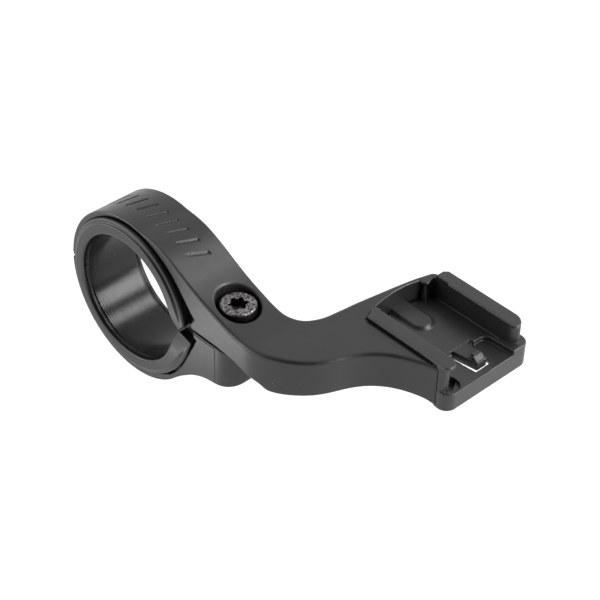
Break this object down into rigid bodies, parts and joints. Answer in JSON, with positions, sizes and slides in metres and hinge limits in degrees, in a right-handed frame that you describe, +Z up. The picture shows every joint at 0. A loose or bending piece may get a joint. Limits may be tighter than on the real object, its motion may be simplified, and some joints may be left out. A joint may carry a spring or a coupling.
{
  "type": "out_front_computer_mount",
  "caption": "Out-front handlebar bracket for a cycling computer: hinged bar clamp with flanged liners, a clamp screw with a captive nut, and a snap-in tray with a latch tongue.",
  "frame": {"origin": "centre of the handlebar bore, midway along its width", "axes": "+X from the handlebar forward to the computer tray, +Y along the handlebar towards the side the tray is offset to, +Z up"},
  "size_m": [0.1, 0.0555, 0.0431],
  "materials": {
    "body_plastic": "dark grey moulded plastic, fine texture, semi-matte",
    "liner_plastic": "smoother dark grey moulded plastic with fine turned lines",
    "steel": "darkened steel"
  },
  "bodies": {
    "bracket": {"bracket_arm": "body_plastic", "computer_tray": "body_plastic", "liner_upper": "liner_plastic", "hinge_pin": "steel"},
    "jaw": {"clamp_jaw": "body_plastic", "liner_lower": "liner_plastic", "captive_nut": "steel"},
    "screw_carriage": {"screw_washer": "steel"},
    "screw": {"clamp_screw": "steel"},
    "latch": {"latch_tongue": "body_plastic"}
  },
  "joints": [
    {"name": "jaw_hinge", "type": "hinge", "parent": "bracket", "child": "jaw", "pos_m": [-0.0225, 0, 0], "axis": [0, 1, 0], "range_deg": [0, 70]},
    {"name": "screw_lift", "type": "slide", "parent": "bracket", "child": "screw_carriage", "axis": [0, 0, 1], "range_m": [0, 0.0048]},
    {"name": "screw_turn", "type": "hinge", "parent": "screw_carriage", "child": "screw", "pos_m": [0.0294, 0, 0], "axis": [0, 0, 1], "range_deg": [0, 2160]},
    {"name": "latch_flex", "type": "hinge", "parent": "bracket", "child": "latch", "pos_m": [0.0664, 0.0333, 0.0033], "axis": [0, 1, 0], "range_deg": [0, 10], "stiffness_Nm_per_rad": 0.3}
  ],
  "couplings": [
    {"joint": "screw_turn", "follows": "screw_lift", "rad_per_m": 7854}
  ]
}
